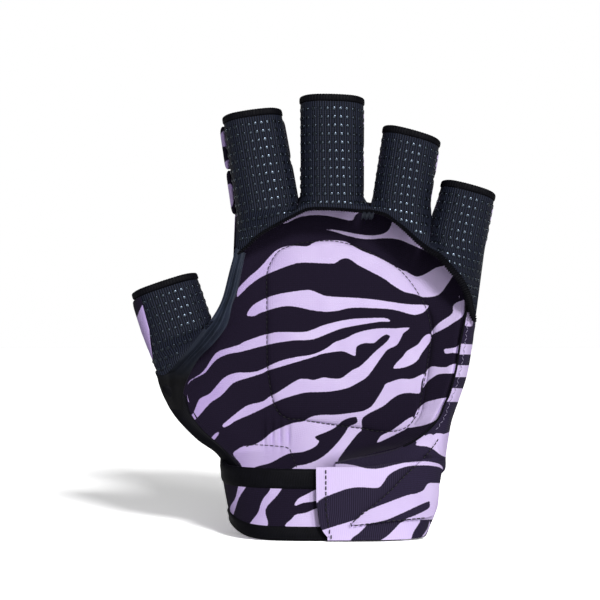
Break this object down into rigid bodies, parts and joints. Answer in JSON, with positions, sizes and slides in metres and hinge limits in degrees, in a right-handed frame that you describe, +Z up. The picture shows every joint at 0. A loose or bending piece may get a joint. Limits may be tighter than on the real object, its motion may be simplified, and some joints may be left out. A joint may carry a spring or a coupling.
{
  "type": "field hockey glove",
  "caption": "Left-hand open-palm half-finger protective glove with knit stalls, foam guard blocks, quilted palm lining, cuff and peel-open wrist strap",
  "frame": {"origin": "on the ground under the middle of the glove's bounding box, at the hem the glove stands on", "axes": "+Z up along the middle finger, -Y out of the palm, -X towards the thumb"},
  "size_m": [0.1595, 0.0628, 0.1929],
  "materials": {
    "zebra_fabric": "printed stretch knit laminated to foam, lavender with dark zebra stripes",
    "grip_knit": "dark slate-navy ribbed knit with rows of raised glossy grip dots",
    "binding": "near-black folded stretch tape and overlock thread",
    "web_fabric": "slate-grey smooth stretch fabric",
    "strap_elastic": "ribbed woven elastic with zebra print",
    "foam": "closed-cell foam",
    "hook_and_loop": "black hook-and-loop tape"
  },
  "bodies": {
    "hand": {"palm_lining": "zebra_fabric", "hand_pad_foam_core": "foam", "hand_pad_outer_cover": "zebra_fabric", "quilted_palm_panel": "zebra_fabric", "palm_side_roll": "zebra_fabric", "knuckle_guard_index_middle": "zebra_fabric", "knuckle_guard_ring_little": "zebra_fabric", "hand_back_guard_upper": "zebra_fabric", "hand_back_guard_lower": "zebra_fabric", "wrist_guard": "zebra_fabric", "little_finger_side_guard": "zebra_fabric", "finger_root_yoke": "grip_knit", "yoke_overlock_edge": "binding", "thumb_web_strip": "web_fabric", "thumb_web_gusset": "web_fabric", "lining_edge_binding": "binding", "thumb_root_palm": "grip_knit", "thumb_root_guard": "zebra_fabric", "cuff_band": "zebra_fabric", "cuff_top_binding": "binding", "cuff_hem_binding": "binding", "cuff_side_gusset": "strap_elastic", "cuff_loop_patch": "hook_and_loop", "web_bar_tack": "binding"},
    "index_stall": {"index_stall_palm": "grip_knit", "index_stall_back": "zebra_fabric", "index_rim_binding": "binding", "index_guard_base": "zebra_fabric", "index_guard_tip": "zebra_fabric"},
    "middle_stall": {"middle_stall_palm": "grip_knit", "middle_stall_back": "zebra_fabric", "middle_rim_binding": "binding", "middle_guard_base": "zebra_fabric", "middle_guard_tip": "zebra_fabric"},
    "ring_stall": {"ring_stall_palm": "grip_knit", "ring_stall_back": "zebra_fabric", "ring_rim_binding": "binding", "ring_guard_base": "zebra_fabric", "ring_guard_tip": "zebra_fabric"},
    "little_stall": {"little_stall_palm": "grip_knit", "little_stall_back": "zebra_fabric", "little_rim_binding": "binding", "little_guard_base": "zebra_fabric", "little_guard_tip": "zebra_fabric"},
    "thumb_stall": {"thumb_stall_palm": "grip_knit", "thumb_stall_back": "zebra_fabric", "thumb_rim_binding": "binding", "thumb_guard_base": "zebra_fabric", "thumb_guard_tip": "zebra_fabric"},
    "strap": {"wrist_strap": "strap_elastic", "strap_folded_end": "strap_elastic", "strap_side_panel": "zebra_fabric", "strap_hook_patch": "hook_and_loop"}
  },
  "joints": [
    {"name": "index_fold", "type": "hinge", "parent": "hand", "child": "index_stall", "pos_m": [-0.0188, -0.01284, 0.1431], "axis": [0.9863, 0, 0.165], "range_deg": [0, 60], "stiffness_Nm_per_rad": 0.06},
    {"name": "middle_fold", "type": "hinge", "parent": "hand", "child": "middle_stall", "pos_m": [0.00932, -0.01384, 0.1485], "axis": [1, 0, 0], "range_deg": [0, 60], "stiffness_Nm_per_rad": 0.06},
    {"name": "ring_fold", "type": "hinge", "parent": "hand", "child": "ring_stall", "pos_m": [0.03845, -0.01334, 0.1461], "axis": [0.9863, 0, -0.165], "range_deg": [0, 60], "stiffness_Nm_per_rad": 0.06},
    {"name": "little_fold", "type": "hinge", "parent": "hand", "child": "little_stall", "pos_m": [0.06185, -0.01084, 0.13], "axis": [0.9744, 0, -0.225], "range_deg": [0, 60], "stiffness_Nm_per_rad": 0.06},
    {"name": "thumb_fold", "type": "hinge", "parent": "hand", "child": "thumb_stall", "pos_m": [-0.05568, -0.01234, 0.09], "axis": [0.9455, 0, 0.3256], "range_deg": [0, 45], "stiffness_Nm_per_rad": 0.06},
    {"name": "strap_peel", "type": "hinge", "parent": "hand", "child": "strap", "pos_m": [0.05346, -0.0113, 0.018], "axis": [0, 0, 1], "range_deg": [0, 110], "stiffness_Nm_per_rad": 0.004}
  ]
}
